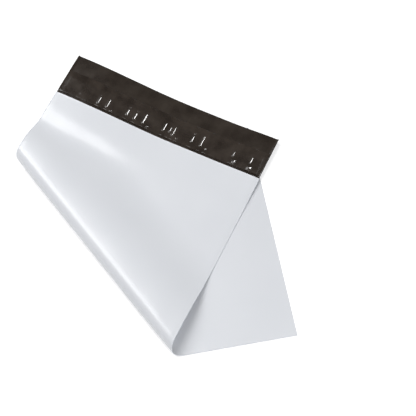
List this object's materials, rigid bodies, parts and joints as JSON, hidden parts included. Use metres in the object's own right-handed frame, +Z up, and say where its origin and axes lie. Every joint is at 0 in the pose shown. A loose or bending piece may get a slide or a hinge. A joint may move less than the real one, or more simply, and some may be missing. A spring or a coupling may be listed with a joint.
{
  "type": "poly mailer bag",
  "caption": "Flat film mailing bag with welded sides and an open dark-lined sealing flap, lying folded over once on a slant.",
  "frame": {"origin": "on the table plane, under the centre of the folded bag's bounding box", "axes": "+X along the bag's mouth and flap towards the side where the bottom half shows, +Y from the bag's bottom towards its flap on the top half, +Z up from the table"},
  "size_m": [0.3584, 0.2764, 0.0204],
  "materials": {
    "film_bag": "glossy white co-extruded film, dark brown-grey on its inner side",
    "adhesive_strip": "tacky hot-melt band, satin",
    "release_liner": "glossy thin peel-off film"
  },
  "bodies": {
    "root": {"film_bag": "film_bag", "adhesive_strip": "adhesive_strip", "release_liner": "release_liner"}
  },
  "joints": []
}
